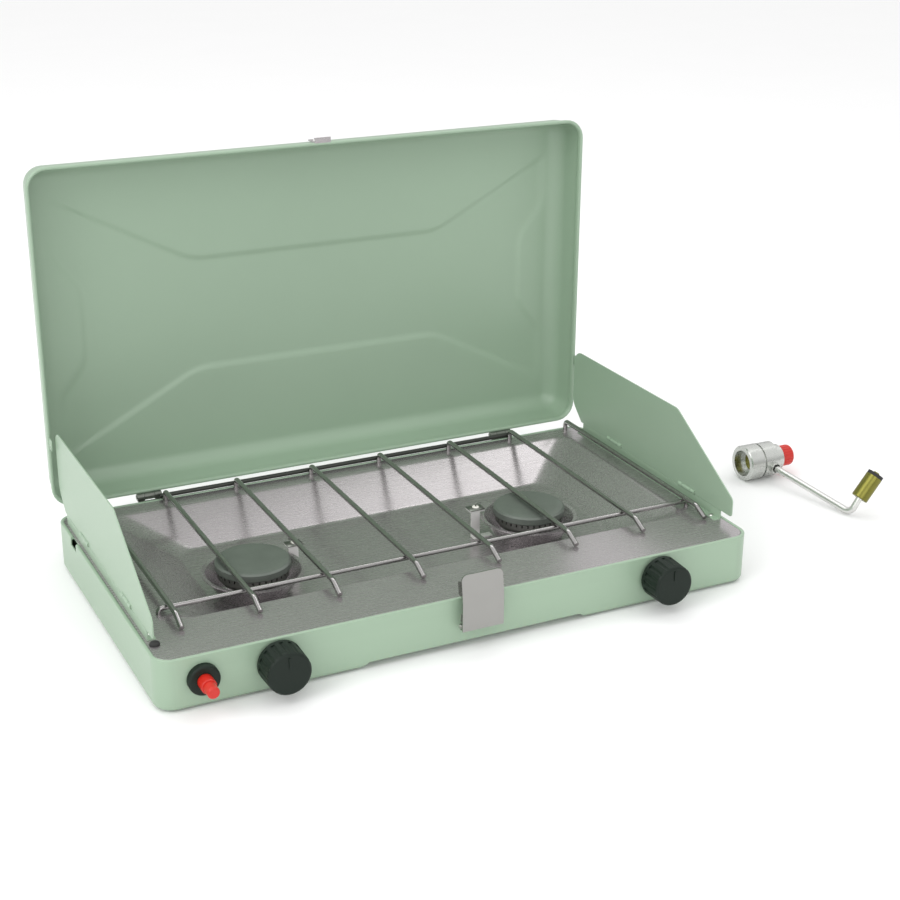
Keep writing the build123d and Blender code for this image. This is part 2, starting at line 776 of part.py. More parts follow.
with BuildPart() as igniter_collar:
    with BuildSketch(Plane.XZ.offset(-FRONT_Y)):
        with Locations((IGNITER_X, IGNITER_Z)):
            Circle(12.3)
    extrude(amount=6.0)
    fillet(igniter_collar.edges().group_by(Axis.Y)[0], radius=1.8)
    with BuildSketch(Plane.XZ.offset(-FRONT_Y)):
        with Locations((IGNITER_X, IGNITER_Z)):
            Circle(7.8)
    extrude(amount=5.4, mode=Mode.SUBTRACT)
    with BuildSketch(Plane.XZ.offset(-FRONT_Y)):
        with Locations((IGNITER_X, IGNITER_Z)):
            Circle(6.4)
    extrude(amount=8, mode=Mode.SUBTRACT)
save(igniter_collar, "igniter_collar")

with BuildPart() as igniter_button:
    with BuildSketch(Plane.XZ.offset(-BUTTON_BACK)):
        with Locations((IGNITER_X, IGNITER_Z)):
            Circle(BUTTON_R)
    extrude(amount=BUTTON_BACK - BUTTON_STEP)
    fillet(igniter_button.edges().group_by(Axis.Y)[0], radius=0.8)
    with BuildSketch(Plane.XZ.offset(-BUTTON_STEP)):
        with Locations((IGNITER_X, IGNITER_Z)):
            Circle(BUTTON_TIP_R)
    extrude(amount=BUTTON_STEP - BUTTON_FRONT)
    fillet(igniter_button.edges().group_by(Axis.Y)[0], radius=1.8)
save(igniter_button, "igniter_button")

with BuildPart() as igniter_spring:
    with BuildSketch(Plane.XZ.offset(-SPRING_END + 0.05)):
        with Locations((IGNITER_X, IGNITER_Z)):
            Circle(5.0)
            Circle(3.8, mode=Mode.SUBTRACT)
    extrude(amount=SPRING_END - BUTTON_BACK - 0.1)
save(igniter_spring, "igniter_spring")


# ======================================================================================
# latch on the front wall
# ======================================================================================
with BuildPart() as latch_bracket:
    with BuildSketch(Plane.XZ.offset(-FRONT_Y)):
        with Locations((0, LATCH_PIN_Z + 1.2)):
            RectangleRounded(30.4, 15.0, 1.5)
    extrude(amount=1.0)
    for sign in (-1, 1):
        with BuildSketch(Plane.YZ.offset(sign * 14.6)):
            with Locations(((LATCH_PIN_Y + FRONT_Y - 1.0) / 2, LATCH_PIN_Z)):
                Rectangle(abs(LATCH_PIN_Y - FRONT_Y) - 0.9, 5.2)
            with Locations((LATCH_PIN_Y, LATCH_PIN_Z)):
                Circle(2.6)
                Circle(LATCH_PIN_R, mode=Mode.SUBTRACT)
        extrude(amount=0.6, both=True)
save(latch_bracket, "latch_bracket")

with BuildPart() as latch_pin:
    with BuildSketch(Plane.YZ.offset(-18.6)):
        with Locations((LATCH_PIN_Y, LATCH_PIN_Z)):
            Circle(LATCH_PIN_R)
    extrude(amount=37.2)
save(latch_pin, "latch_pin")



def leaf_y(z):
    """Front face of the latch's leaning upper leaf at a height."""
    return LATCH_FACE_Y + (z - LATCH_CREASE) * tan(radians(LATCH_TILT))


LATCH_TOP_Y = leaf_y(LATCH_TOP)
with BuildPart() as latch_plate:
    with BuildSketch(Plane.YZ.offset(-LATCH_W / 2)):
        with BuildLine():
            Polyline(
                (LATCH_FACE_Y, LATCH_LOW),
                (LATCH_FACE_Y, LATCH_CREASE),
                (LATCH_TOP_Y, LATCH_TOP),
                (LATCH_TOP_Y + 1, LATCH_TOP),
                (LATCH_FACE_Y + 1, LATCH_CREASE),
                (LATCH_FACE_Y + 1, LATCH_LOW),
                close=True,
            )
        make_face()
    extrude(amount=LATCH_W)
    top_corners = latch_plate.edges().filter_by(Axis.Y, tolerance=2).group_by(Axis.Z)[-1]
    fillet(top_corners, radius=5.0)
    for sign in (-1, 1):
        # pivot ears at the foot of the plate
        with BuildSketch(Plane.YZ.offset(sign * 16.9)):
            with Locations(((LATCH_FACE_Y + 0.9 + LATCH_PIN_Y) / 2, LATCH_PIN_Z)):
                Rectangle(LATCH_PIN_Y - LATCH_FACE_Y - 0.9, 5.0)
            with Locations((LATCH_PIN_Y, LATCH_PIN_Z)):
                Circle(2.5)
                Circle(LATCH_PIN_R + RUN_FIT, mode=Mode.SUBTRACT)
        extrude(amount=0.5, both=True)
        # finger flanges on the upper leaf
        with BuildSketch(Plane.YZ.offset(sign * 17.5)):
            with BuildLine():
                Polyline(
                    (leaf_y(47.0) + 0.6, 47.0),
                    (leaf_y(49.0) + 7.0, 49.0),
                    (leaf_y(59.0) + 7.0, 59.0),
                    (leaf_y(61.0) + 0.6, 61.0),
                    close=True,
                )
            make_face()
        extrude(amount=0.5, both=True)
save(latch_plate, "latch_plate")


# ======================================================================================
# side windscreens
# ======================================================================================
def screen_knuckle(builder_sign, y_from, y_to, bore):
    """Hinge barrel on the windscreen's hinge line, as a tube along Y."""
    with BuildPart() as barrel:
        with BuildSketch(Plane.XZ.offset(-y_from)):
            with Locations((builder_sign * SCREEN_X, SCREEN_Z)):
                Circle(KNUCKLE_R)
                Circle(bore, mode=Mode.SUBTRACT)
        extrude(amount=-(y_to - y_from))
    return barrel.part


def windscreen_rail(side):
    """Angle strip riveted to the tray, with two hinge tongues that rise to the barrels."""
    sign = side_sign(side)
    with BuildPart() as rail:
        with BuildSketch(Plane.XZ.offset(-RAIL_FRONT)):
            with BuildLine():
                Polyline(
                    (sign * 248.0, TRAY_TOP),
                    (sign * 254.9, TRAY_TOP),
                    (sign * 254.9, RAIL_TOP),
                    (sign * 253.9, RAIL_TOP),
                    (sign * 253.9, TRAY_TOP + 0.8),
                    (sign * 248.0, TRAY_TOP + 0.8),
                    close=True,
                )
            make_face()
        extrude(amount=-(RAIL_REAR - RAIL_FRONT))
        for y in KNUCKLE_YS:
            with BuildSketch(Plane.YZ.offset(sign * SCREEN_X)):
                with Locations((y, RAIL_NOTCH + 2.0)):
                    Rectangle(26.4, 4.0)
            extrude(amount=1.0, both=True, mode=Mode.SUBTRACT)
            with BuildSketch(Plane.YZ.offset(sign * SCREEN_X)):
                with Locations((y, (RAIL_NOTCH - 0.5 + SCREEN_Z - 1.2) / 2)):
                    Rectangle(12.0, SCREEN_Z - 1.2 - RAIL_NOTCH + 0.5)
            extrude(amount=0.5, both=True)
            add(screen_knuckle(sign, y - 6, y + 6, SCREEN_PIN_R))
        with BuildSketch(Plane.XY.offset(TRAY_TOP - 1)):
            with Locations(RIVET_AT):
                Circle(RIVET_R)
        extrude(amount=4, mode=Mode.SUBTRACT)
    return rail


def windscreen(side):
    """Painted steel plate with a sloped front edge, hinged along its foot."""
    sign = side_sign(side)
    low = SCREEN_Z - 1.1
    with BuildPart() as plate:
        with BuildSketch(Plane.YZ.offset(sign * SCREEN_X)):
            with BuildLine():
                FilletPolyline(
                    (SCREEN_FRONT, low),
                    (SCREEN_FRONT, 68.0),
                    (SCREEN_BEND, SCREEN_TOP),
                    (SCREEN_REAR, SCREEN_TOP),
                    (SCREEN_REAR, 68.0),
                    (130.0, low),
                    radius=(6.0, 14.0, 12.0, 14.0),
                )
                Line((130.0, low), (SCREEN_FRONT, low))
            make_face()
            # gaps where the rail's tongues come through
            for y in KNUCKLE_YS:
                with Locations((y, SCREEN_Z)):
                    Rectangle(13.0, 4.6, mode=Mode.SUBTRACT)
        extrude(amount=0.5, both=True)
        front_foot = plate.edges().filter_by(Axis.X).sort_by_distance(
            (sign * SCREEN_X, SCREEN_FRONT, low)
        )
        fillet(front_foot[0], radius=2.5)
        for y in KNUCKLE_YS:
            add(screen_knuckle(sign, y - 12.5, y - 6.5, SCREEN_PIN_R + RUN_FIT))
            add(screen_knuckle(sign, y + 6.5, y + 12.5, SCREEN_PIN_R + RUN_FIT))
            with BuildSketch(Plane.XZ.offset(-y + 13)):
                with Locations((sign * SCREEN_X, SCREEN_Z)):
                    Circle(SCREEN_PIN_R + RUN_FIT)
            extrude(amount=-26, mode=Mode.SUBTRACT)
    return plate


for side in ("left", "right"):
    save(windscreen_rail(side), f"windscreen_rail_{side}")
    save(windscreen(side), f"windscreen_{side}")

with BuildPart() as windscreen_pins:
    for y in KNUCKLE_YS:
        with BuildSketch(Plane.XZ.offset(-y + 13)):
            with Locations((-SCREEN_X, SCREEN_Z), (SCREEN_X, SCREEN_Z)):
                Circle(SCREEN_PIN_R)
        extrude(amount=-26)
save(windscreen_pins, "windscreen_pins")

with BuildPart() as rail_rivets:
    with BuildSketch(Plane.XY.offset(LEDGE_TOP - SHEET)):
        with Locations(RIVET_AT):
            Circle(RIVET_R)
    extrude(amount=SHEET + TRAY_T + 0.8)
    with BuildSketch(Plane.XY.offset(TRAY_TOP + 0.8)):
        with Locations(RIVET_AT):
            Circle(RIVET_R + 0.8)
    extrude(amount=0.9, taper=25)
save(rail_rivets, "rail_rivets")


# ======================================================================================
# lid
# ======================================================================================
def lid_form(inset, extra):
    """The lid's tray as a solid, open toward the cook, with leaning walls."""
    with BuildPart() as form:
        with BuildSketch(Plane.XZ.offset(-RIM_PLANE_Y + extra)):
            with Locations((0, LID_MID_Z)):
                RectangleRounded(LID_W - 2 * inset, LID_L - 2 * inset, LID_CORNER_R - inset)
        with BuildSketch(Plane.XZ.offset(-RIM_PLANE_Y - LID_DEPTH + inset)):
            with Locations((0, LID_MID_Z)):
                RectangleRounded(
                    LID_W - 2 * (LID_DRAFT + inset),
                    LID_L - 2 * (LID_DRAFT + inset),
                    LID_CORNER_R - LID_DRAFT / 2 - inset,
                )
        loft()
        fillet(form.edges().group_by(Axis.Y)[-1], radius=LID_EDGE_R - inset)
    return form.part


def emboss_outline():
    """Points of the pressed X-shaped field in the panel, as (x, z)."""
    arm_x, arm_top = 213.0, 100.0
    tip_x, tip_z = 236.0, 66.0
    waist_x, waist_z = 115.0, 48.0
    flank_x, flank_z = 212.0, 32.0
    quarter = [(waist_x, waist_z), (arm_x, arm_top), (tip_x, tip_z), (flank_x, flank_z)]
    points = [(x, z) for x, z in quarter]
    points += [(x, -z) for x, z in reversed(quarter)]
    points += [(-x, -z) for x, z in quarter]
    points += [(-x, z) for x, z in reversed(quarter)]
    return [(x, z + LID_MID_Z) for x, z in points]


PANEL_Y = RIM_PLANE_Y + LID_DEPTH
with BuildPart() as lid:
    add(lid_form(0, 0))
    with BuildSketch(Plane.XZ.offset(-PANEL_Y + 0.2)):
        with BuildLine():
            Polyline(*emboss_outline(), close=True)
        make_face()
    extrude(amount=-EMBOSS - 0.2, taper=40)
    add(lid_form(SHEET, 0), mode=Mode.SUBTRACT)
    with BuildSketch(Plane.XZ.offset(-PANEL_Y + SHEET + 0.1)):
        with BuildLine():
            Polyline(*emboss_outline(), close=True)
        make_face()
    extrude(amount=-EMBOSS - 0.1, taper=40, mode=Mode.SUBTRACT)
    # side tongues that catch the windscreens and drop into the base's slots
    for sign in (-1, 1):
        with BuildSketch(Plane.YZ.offset(sign * (LID_W / 2 - SHEET / 2))):
            with Locations((RIM_PLANE_Y - TONGUE_REACH / 2 + 0.3, sum(TONGUE_Z) / 2)):
                Rectangle(TONGUE_REACH + 0.6, TONGUE_Z[1] - TONGUE_Z[0])
        extrude(amount=SHEET / 2, both=True)
save(lid, "lid")

with BuildPart() as lid_catch:
    with BuildSketch(Plane.YZ.offset(-9.0)):
        with BuildLine():
            Polyline(
                (RIM_PLANE_Y + 0.3, LID_TOP_Z + 0.02),
                (RIM_PLANE_Y + 16.0, LID_TOP_Z + 0.02),
                (RIM_PLANE_Y + 16.0, LID_TOP_Z + 1.0),
                (RIM_PLANE_Y + 1.5, LID_TOP_Z + 1.0),
                (RIM_PLANE_Y + 1.5, LID_TOP_Z + 5.0),
                (RIM_PLANE_Y + 0.3, LID_TOP_Z + 5.0),
                close=True,
            )
        make_face()
    extrude(amount=15.0)
save(lid_catch, "lid_catch")


def hinge_segment(x_from, x_to, bore):
    with BuildPart() as barrel:
        with BuildSketch(Plane.YZ.offset(x_from)):
            with Locations((HINGE_Y, HINGE_Z)):
                Circle(HINGE_R)
                Circle(bore, mode=Mode.SUBTRACT)
        extrude(amount=x_to - x_from)
    return barrel.part


with BuildPart() as base_hinge_leaves:
    for x in HINGE_X:
        left_end = x - HINGE_LEN / 2
        with BuildSketch(Plane.YZ.offset(left_end)):
            with BuildLine():
                Polyline(
                    (REAR_Y, 28.0),
                    (REAR_Y + 1.0, 28.0),
                    (REAR_Y + 1.0, HINGE_Z - HINGE_R),
                    (HINGE_Y, HINGE_Z - HINGE_R),
                    (HINGE_Y, HINGE_Z - HINGE_R + 1.0),
                    (REAR_Y, HINGE_Z - HINGE_R + 1.0),
                    close=True,
                )
            make_face()
        extrude(amount=HINGE_LEN)
        # the middle of the leaf is cut away for the lid's knuckle
        with BuildSketch(Plane.XY.offset(HINGE_Z - HINGE_R - 1)):
            with Locations((x, HINGE_Y)):
                Rectangle(9.6, 9.0)
        extrude(amount=4, mode=Mode.SUBTRACT)
        add(hinge_segment(left_end, x - 4.8, HINGE_PIN_R))
        add(hinge_segment(x + 4.8, x + HINGE_LEN / 2, HINGE_PIN_R))
save(base_hinge_leaves, "base_hinge_leaves")

with BuildPart() as lid_hinge_leaves:
    leaf_top = LID_LOW_Z - 0.05
    for x in HINGE_X:
        with BuildSketch(Plane.YZ.offset(x - HINGE_LEN / 2)):
            with Locations(((HINGE_Y + 4.2 + RIM_PLANE_Y + 20) / 2, leaf_top - 0.5)):
                Rectangle(RIM_PLANE_Y + 20 - HINGE_Y - 4.2, 1.0)
        extrude(amount=HINGE_LEN)
        with BuildSketch(Plane.YZ.offset(x - 4.5)):
            with Locations(((HINGE_Y + HINGE_Y + 5) / 2, leaf_top - 0.5)):
                Rectangle(5.0, 1.0)
        extrude(amount=9.0)
        add(hinge_segment(x - 4.5, x + 4.5, HINGE_PIN_R + RUN_FIT))
save(lid_hinge_leaves, "lid_hinge_leaves")

with BuildPart() as hinge_pins:
    for x in HINGE_X:
        with BuildSketch(Plane.YZ.offset(x - HINGE_LEN / 2 - 0.6)):
            with Locations((HINGE_Y, HINGE_Z)):
                Circle(HINGE_PIN_R)
        extrude(amount=HINGE_LEN + 1.2)
save(hinge_pins, "hinge_pins")

with BuildPart() as base_hinge_rivets:
    with BuildSketch(Plane.XZ.offset(-REAR_Y - 1.0)):
        with Locations([(x + dx, 33.0) for x in HINGE_X for dx in (-7, 7)]):
            Circle(2.2)
    extrude(amount=-1.0, taper=20)
save(base_hinge_rivets, "base_hinge_rivets")

with BuildPart() as lid_rivets:
    with BuildSketch(Plane.XY.offset(LID_LOW_Z - 1.05)):
        with Locations([(x + dx, RIM_PLANE_Y + 13) for x in HINGE_X for dx in (-7, 7)]):
            Circle(2.2)
    extrude(amount=-1.0, taper=20)
    with BuildSketch(Plane.XY.offset(LID_TOP_Z + 1.0)):
        with Locations((-5.0, RIM_PLANE_Y + 10), (2.0, RIM_PLANE_Y + 10)):
            Circle(2.0)
    extrude(amount=0.9, taper=20)
save(lid_rivets, "lid_rivets")


# ======================================================================================
# regulator
# ======================================================================================
with BuildPart() as regulator_body:
    # socket collar, groove, main housing and neck, all about one axis along X
    for x_from, x_to, radius in (
        (0.0, 15.5, REG_R),
        (15.5, 17.5, REG_R - 2.2),
        (17.5, 33.0, REG_R - 0.4),
        (33.0, 42.0, 12.6),
    ):
        with BuildSketch(Plane.YZ.offset(REG_X + x_from)):
            with Locations((REG_Y, REG_R)):
                Circle(radius)
        extrude(amount=x_to - x_from)
    chamfer(regulator_body.edges().group_by(Axis.X)[0], length=1.0)
    chamfer(regulator_body.edges().group_by(Axis.X)[-1], length=0.8)
    with BuildSketch(Plane.YZ.offset(REG_X)):
        with Locations((REG_Y, REG_R)):
            Circle(REG_BORE_R)
    extrude(amount=REG_BORE_L, mode=Mode.SUBTRACT)
    with BuildSketch(Plane.YZ.offset(REG_X + REG_BORE_L)):
        with Locations((REG_Y, REG_R)):
            Circle(REG_SEAT_R)
    extrude(amount=REG_SEAT_L, mode=Mode.SUBTRACT)
    # boss that receives the tube
    with BuildSketch(Plane.XZ.offset(-REG_Y + REG_R - 5)):
        with Locations((REG_X + 25.5, REG_R - 2.0)):
            Circle(5.2)
    extrude(amount=9.0)
    with BuildSketch(Plane.XZ.offset(-REG_Y + REG_R - 1)):
        with Locations((REG_X + 25.5, REG_R - 2.0)):
            Circle(REG_TUBE_R + 1.2)
    extrude(amount=6.0, mode=Mode.SUBTRACT)
save(regulator_body, "regulator_body")

with BuildPart() as regulator_insert:
    with BuildSketch(Plane.YZ.offset(REG_X + REG_BORE_L + REG_SEAT_L)):
        with Locations((REG_Y, REG_R)):
            Circle(REG_SEAT_R)
    extrude(amount=-3.0)
    with BuildSketch(Plane.YZ.offset(REG_X + REG_BORE_L + REG_SEAT_L)):
        with Locations((REG_Y, REG_R)):
            RegularPolygon(3.4, 6)
    extrude(amount=-3.0, mode=Mode.SUBTRACT)
save(regulator_insert, "regulator_insert")

with BuildPart() as regulator_cap:
    with BuildSketch(Plane.YZ.offset(REG_X + 42.0)):
        with Locations((REG_Y, REG_R)):
            Circle(10.2)
    extrude(amount=14.0)
    fillet(regulator_cap.edges().group_by(Axis.X)[-1], radius=3.0)
    with BuildSketch(Plane.YZ.offset(REG_X + 43.5)):
        with Locations((REG_Y, REG_R)):
            with PolarLocations(11.2, 20):
                Circle(1.4)
    extrude(amount=14.0, mode=Mode.SUBTRACT)
save(regulator_cap, "regulator_cap")

TUBE_START = (REG_X + 25.5, REG_Y - REG_R + 0.7, REG_R - 2.0)
TUBE_BEND = (426.5, -73.5, 3.6)
NUT_START = (434.5, -75.0, 18.8)
NUT_TIP = (450.7, -75.0, 39.1)
with BuildPart() as regulator_tube:
    with BuildLine() as tube_route:
        FilletPolyline(
            TUBE_START,
            (REG_X + 26.0, REG_Y - REG_R - 10, REG_R - 2.6),
            TUBE_BEND,
            NUT_START,
            radius=(30.0, 7.0),
        )
    with BuildSketch(Plane(origin=tube_route.line @ 0, z_dir=tube_route.line % 0)):
        Circle(REG_TUBE_R)
        Circle(REG_TUBE_R - 1, mode=Mode.SUBTRACT)
    sweep()
save(regulator_tube, "regulator_tube")

NUT_AXIS = Vector(*NUT_TIP) - Vector(*NUT_START)
NUT_LEN = NUT_AXIS.length
NUT_PLANE = Plane(origin=NUT_START, z_dir=NUT_AXIS)
with BuildPart() as regulator_nut:
    with BuildSketch(NUT_PLANE.offset(-1.5)):
        Circle(REG_NUT_R)
    extrude(amount=NUT_LEN + 1.5)
    chamfer(regulator_nut.edges().filter_by(GeomType.CIRCLE), length=0.7)
    with BuildSketch(NUT_PLANE.offset(-2.5)):
        Circle(REG_TUBE_R + 1.1)
    extrude(amount=3.3, mode=Mode.SUBTRACT)
    with BuildSketch(NUT_PLANE.offset(NUT_LEN - 3.0)):
        Circle(REG_NUT_R + 1)
        Circle(3.6, mode=Mode.SUBTRACT)
    extrude(amount=4.0, mode=Mode.SUBTRACT)
save(regulator_nut, "regulator_nut")

with BuildPart() as regulator_oring:
    with BuildSketch(NUT_PLANE.offset(NUT_LEN - 3.0)):
        Circle(REG_NUT_R - 0.2)
        Circle(3.6, mode=Mode.SUBTRACT)
    extrude(amount=3.2)
save(regulator_oring, "regulator_oring")

with BuildPart() as regulator_nipple:
    with BuildSketch(NUT_PLANE.offset(NUT_LEN)):
        Circle(3.0)
    extrude(amount=1.6, taper=8)
save(regulator_nipple, "regulator_nipple")
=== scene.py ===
"""Looks for the two-burner camping stove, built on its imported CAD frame. Metres."""
import math

import bmesh
import bpy
from mathutils import Matrix, Vector


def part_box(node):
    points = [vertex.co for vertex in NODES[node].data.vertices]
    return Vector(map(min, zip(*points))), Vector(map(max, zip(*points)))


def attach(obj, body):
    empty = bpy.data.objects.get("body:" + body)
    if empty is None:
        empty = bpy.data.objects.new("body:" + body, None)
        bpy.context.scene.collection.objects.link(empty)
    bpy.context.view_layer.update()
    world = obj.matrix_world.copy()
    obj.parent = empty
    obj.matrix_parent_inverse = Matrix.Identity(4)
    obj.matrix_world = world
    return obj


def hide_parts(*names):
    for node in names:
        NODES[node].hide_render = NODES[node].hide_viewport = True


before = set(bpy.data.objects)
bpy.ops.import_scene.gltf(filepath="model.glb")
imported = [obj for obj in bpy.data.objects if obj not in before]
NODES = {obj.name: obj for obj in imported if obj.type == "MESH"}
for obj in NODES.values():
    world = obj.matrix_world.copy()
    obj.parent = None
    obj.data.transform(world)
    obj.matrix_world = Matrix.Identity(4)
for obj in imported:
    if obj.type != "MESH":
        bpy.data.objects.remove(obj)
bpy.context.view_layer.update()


# ---------------------------------------------------------------- materials
WIDE_DETAIL = 5.0
FINE_DETAIL = 3.0
NOISE_ROUGHNESS = 0.55
WORN_FROM = 0.52  # pointiness at which an edge starts to look worn
WORN_TO = 0.62
WORN_LIGHTER = 1.5


def coords(tree, scale=(1, 1, 1)):
    place = tree.nodes.new("ShaderNodeTexCoord")
    mapping = tree.nodes.new("ShaderNodeMapping")
    mapping.inputs["Scale"].default_value = scale
    tree.links.new(place.outputs["Object"], mapping.inputs["Vector"])
    return mapping.outputs["Vector"]


def noise(tree, vector, scale, detail):
    node = tree.nodes.new("ShaderNodeTexNoise")
    node.inputs["Scale"].default_value = scale
    node.inputs["Detail"].default_value = detail
    node.inputs["Roughness"].default_value = NOISE_ROUGHNESS
    tree.links.new(vector, node.inputs["Vector"])
    return node.outputs["Fac"]


def ramp(tree, factor, stops):
    node = tree.nodes.new("ShaderNodeValToRGB")
    elements = node.color_ramp.elements
    while len(elements) < len(stops):
        elements.new(0.5)
    for element, (position, colour) in zip(elements, stops):
        element.position = position
        element.color = (*colour, 1)
    tree.links.new(factor, node.inputs["Fac"])
    return node.outputs["Color"]


def spread(tree, factor, low, high):
    """A factor from 0 to 1, stretched to run from low to high."""
    node = tree.nodes.new("ShaderNodeMapRange")
    node.inputs["To Min"].default_value = low
    node.inputs["To Max"].default_value = high
    tree.links.new(factor, node.inputs["Value"])
    return node.outputs["Result"]


def bump(tree, shader, height, strength, distance):
    node = tree.nodes.new("ShaderNodeBump")
    node.inputs["Strength"].default_value = strength
    node.inputs["Distance"].default_value = distance
    tree.links.new(height, node.inputs["Height"])
    tree.links.new(node.outputs["Normal"], shader.inputs["Normal"])


def linear(red, green, blue):
    """A linear colour from its three screen values, each from 0 to 255."""
    def one(value):
        value /= 255
        return value / 12.92 if value <= 0.04045 else ((value + 0.055) / 1.055) ** 2.4
    return one(red), one(green), one(blue)


def shade(colour, factor):
    return tuple(min(1.0, channel * factor) for channel in colour)


def worn_edges(tree, base, colour, amount):
    """The base colour, lightened along sharp edges."""
    geometry = tree.nodes.new("ShaderNodeNewGeometry")
    edge = tree.nodes.new("ShaderNodeMapRange")
    edge.inputs["From Min"].default_value = WORN_FROM
    edge.inputs["From Max"].default_value = WORN_TO
    tree.links.new(geometry.outputs["Pointiness"], edge.inputs["Value"])
    mix = tree.nodes.new("ShaderNodeMix")
    mix.data_type = "RGBA"
    tree.links.new(spread(tree, edge.outputs["Result"], 0.0, amount), mix.inputs["Factor"])
    tree.links.new(base, mix.inputs["A"])
    mix.inputs["B"].default_value = (*shade(colour, WORN_LIGHTER), 1)
    return mix.outputs["Result"]


def surface(name, colour, rough, rough_var, colour_var, grain, grain_depth, metallic=0.0,
            var_scale=6.0, grain_scale=(1, 1, 1), grain_strength=0.25, coat=0.0,
            coat_rough=0.2, specular=0.5, worn=0.0):
    """A material with a wide drift of colour and a fine grain in its gloss and relief."""
    material = bpy.data.materials.new(name)
    material.use_nodes = True
    tree = material.node_tree
    shader = next(node for node in tree.nodes if node.type == "BSDF_PRINCIPLED")
    shader.inputs["Metallic"].default_value = metallic
    shader.inputs["Specular IOR Level"].default_value = specular
    shader.inputs["Coat Weight"].default_value = coat
    shader.inputs["Coat Roughness"].default_value = coat_rough
    wide = noise(tree, coords(tree), var_scale, WIDE_DETAIL)
    base = ramp(tree, wide, [(0.25, shade(colour, 1 - colour_var)),
                             (0.75, shade(colour, 1 + colour_var))])
    fine = noise(tree, coords(tree, grain_scale), grain, FINE_DETAIL)
    if worn > 0:
        base = worn_edges(tree, base, colour, worn)
    tree.links.new(base, shader.inputs["Base Color"])
    gloss = spread(tree, fine, rough - rough_var, rough + rough_var)
    tree.links.new(gloss, shader.inputs["Roughness"])
    bump(tree, shader, fine, grain_strength, grain_depth)
    return material


MATERIALS = {
    "green": surface("green_paint", linear(150, 173, 150), rough=0.42, rough_var=0.05,
                     colour_var=0.025, grain=420, grain_depth=0.00003, grain_strength=0.18,
                     coat=0.25, coat_rough=0.25, worn=0.12),
    "stainless": surface("brushed_stainless", linear(172, 168, 169), metallic=0.75, rough=0.27,
                         rough_var=0.05, colour_var=0.05, var_scale=9, grain_scale=(1, 40, 40),
                         grain=30, grain_depth=0.00001, grain_strength=0.15),
    "latch": surface("latch_steel", linear(158, 157, 154), metallic=1.0, rough=0.14,
                     rough_var=0.07, colour_var=0.04, var_scale=30, grain_scale=(40, 40, 1),
                     grain=30, grain_depth=0.00002, grain_strength=0.3),
    "zinc": surface("zinc_steel", linear(214, 214, 211), metallic=1.0, rough=0.32,
                    rough_var=0.1, colour_var=0.08, var_scale=60, grain=500,
                    grain_depth=0.00002),
    "chrome": surface("grate_chrome", linear(160, 158, 157), metallic=1.0, rough=0.2,
                      rough_var=0.04, colour_var=0.05, var_scale=40, grain=120,
                      grain_depth=0.00001, grain_strength=0.06),
    # painted shade: a darker copy of the grate wire, standing in for the shadow and dark
    # reflection on the rear wire
    "shaded_wire": surface("rear_wire_painted_shade", linear(70, 72, 68), metallic=0.8, rough=0.42,
                         rough_var=0.06, colour_var=0.08, var_scale=40, grain=120,
                         grain_depth=0.00001, grain_strength=0.06),
    "dark_steel": surface("hinge_steel", linear(120, 124, 117), metallic=0.85, rough=0.4,
                          rough_var=0.08, colour_var=0.08, var_scale=60, grain=400,
                          grain_depth=0.00001, grain_strength=0.1),
    "bright_steel": surface("bracket_steel", linear(232, 232, 229), metallic=0.35, rough=0.34,
                            rough_var=0.06, colour_var=0.04, var_scale=60, grain=300,
                            grain_depth=0.00001, grain_strength=0.1),
    "enamel": surface("burner_enamel", linear(108, 115, 108), metallic=0.5, rough=0.45,
                      rough_var=0.08, colour_var=0.1, var_scale=50, grain=700,
                      grain_depth=0.00004, grain_strength=0.5),
    "cast": surface("cast_ring", linear(150, 150, 146), metallic=1.0, rough=0.45,
                    rough_var=0.1, colour_var=0.1, var_scale=80, grain=900,
                    grain_depth=0.00008, grain_strength=0.6),
    "brass": surface("brass", linear(124, 121, 60), metallic=1.0, rough=0.3, rough_var=0.08,
                     colour_var=0.08, var_scale=120, grain=900, grain_depth=0.00002),
    "knob": surface("knob_plastic", linear(15, 28, 20), rough=0.5, rough_var=0.08, specular=0.3,
                    colour_var=0.1, var_scale=80, grain=1500, grain_depth=0.00004,
                    grain_strength=0.4, worn=0.2),
    "red": surface("red_plastic", linear(196, 38, 26), rough=0.3, rough_var=0.06,
                   colour_var=0.06, var_scale=90, grain=1200, grain_depth=0.00002),
    "rubber": surface("rubber", linear(40, 40, 40), rough=0.7, rough_var=0.1, colour_var=0.15,
                      var_scale=150, grain=1600, grain_depth=0.00006, grain_strength=0.5),
    "ceramic": surface("ceramic", linear(236, 234, 226), rough=0.22, rough_var=0.05,
                       colour_var=0.03, var_scale=90, grain=800, grain_depth=0.00001),
    "cast_zinc": surface("cast_zinc", linear(198, 200, 196), metallic=1.0, rough=0.28,
                         rough_var=0.06, colour_var=0.05, var_scale=90, grain=240,
                         grain_depth=0.00001, grain_strength=0.12),
}
